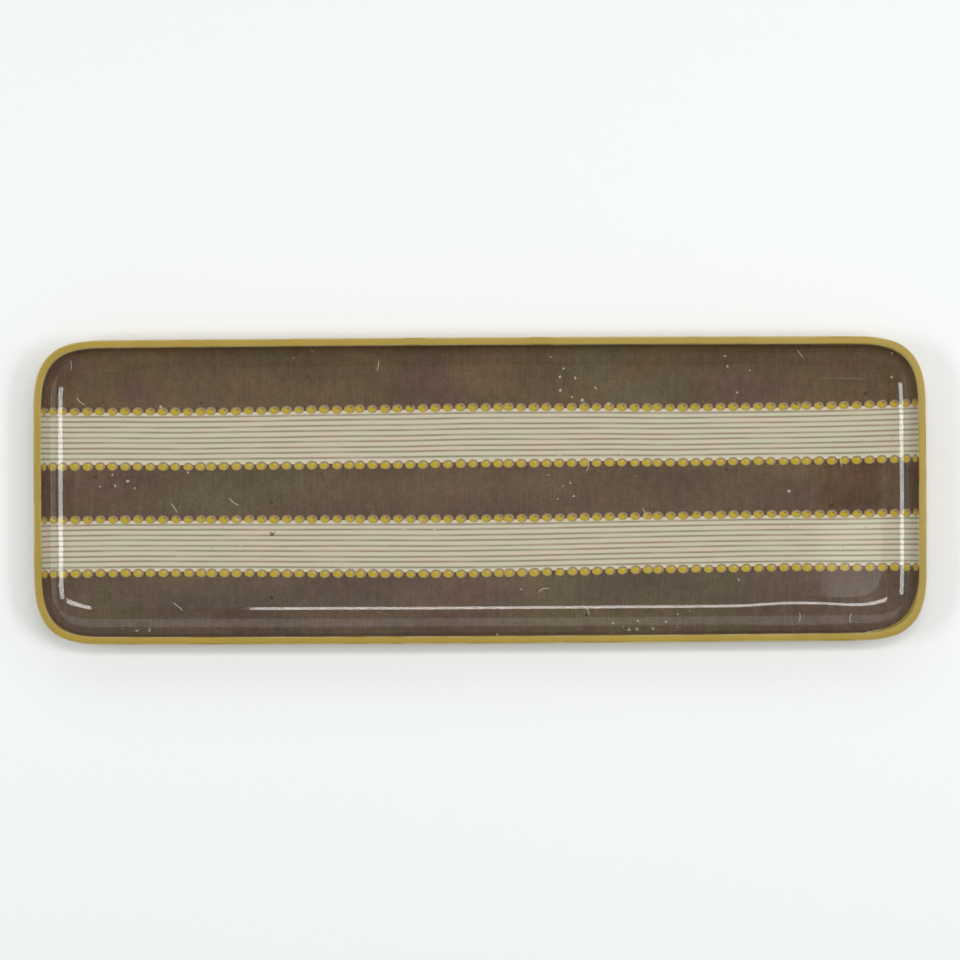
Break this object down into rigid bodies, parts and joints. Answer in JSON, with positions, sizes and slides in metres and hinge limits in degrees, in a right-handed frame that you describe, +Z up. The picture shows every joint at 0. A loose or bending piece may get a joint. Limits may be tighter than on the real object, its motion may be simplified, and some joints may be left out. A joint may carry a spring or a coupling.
{
  "type": "long serving tray",
  "caption": "Long, narrow, shallow serving tray with soft corners, a mustard rim and a glossy brown-and-cream striped lining edged with rows of yellow beads.",
  "frame": {"origin": "on the surface the tray stands on, under the middle of the foot ring", "axes": "+X along the tray's length, +Y across its width, +Z up out of the open well"},
  "size_m": [0.38, 0.1304, 0.0145],
  "materials": {
    "moulded_body": "satin-gloss mustard melamine, the same colour right through",
    "printed_foil": "resin-soaked printed paper: taupe-brown bands with a woven look, cream bands with fine lines, rows of yellow beads",
    "clear_glaze": "clear high gloss with slight ripples and fine scratches"
  },
  "bodies": {
    "root": {"tray_body": "moulded_body", "decor_foil": "printed_foil", "clear_glaze": "clear_glaze"}
  },
  "joints": []
}
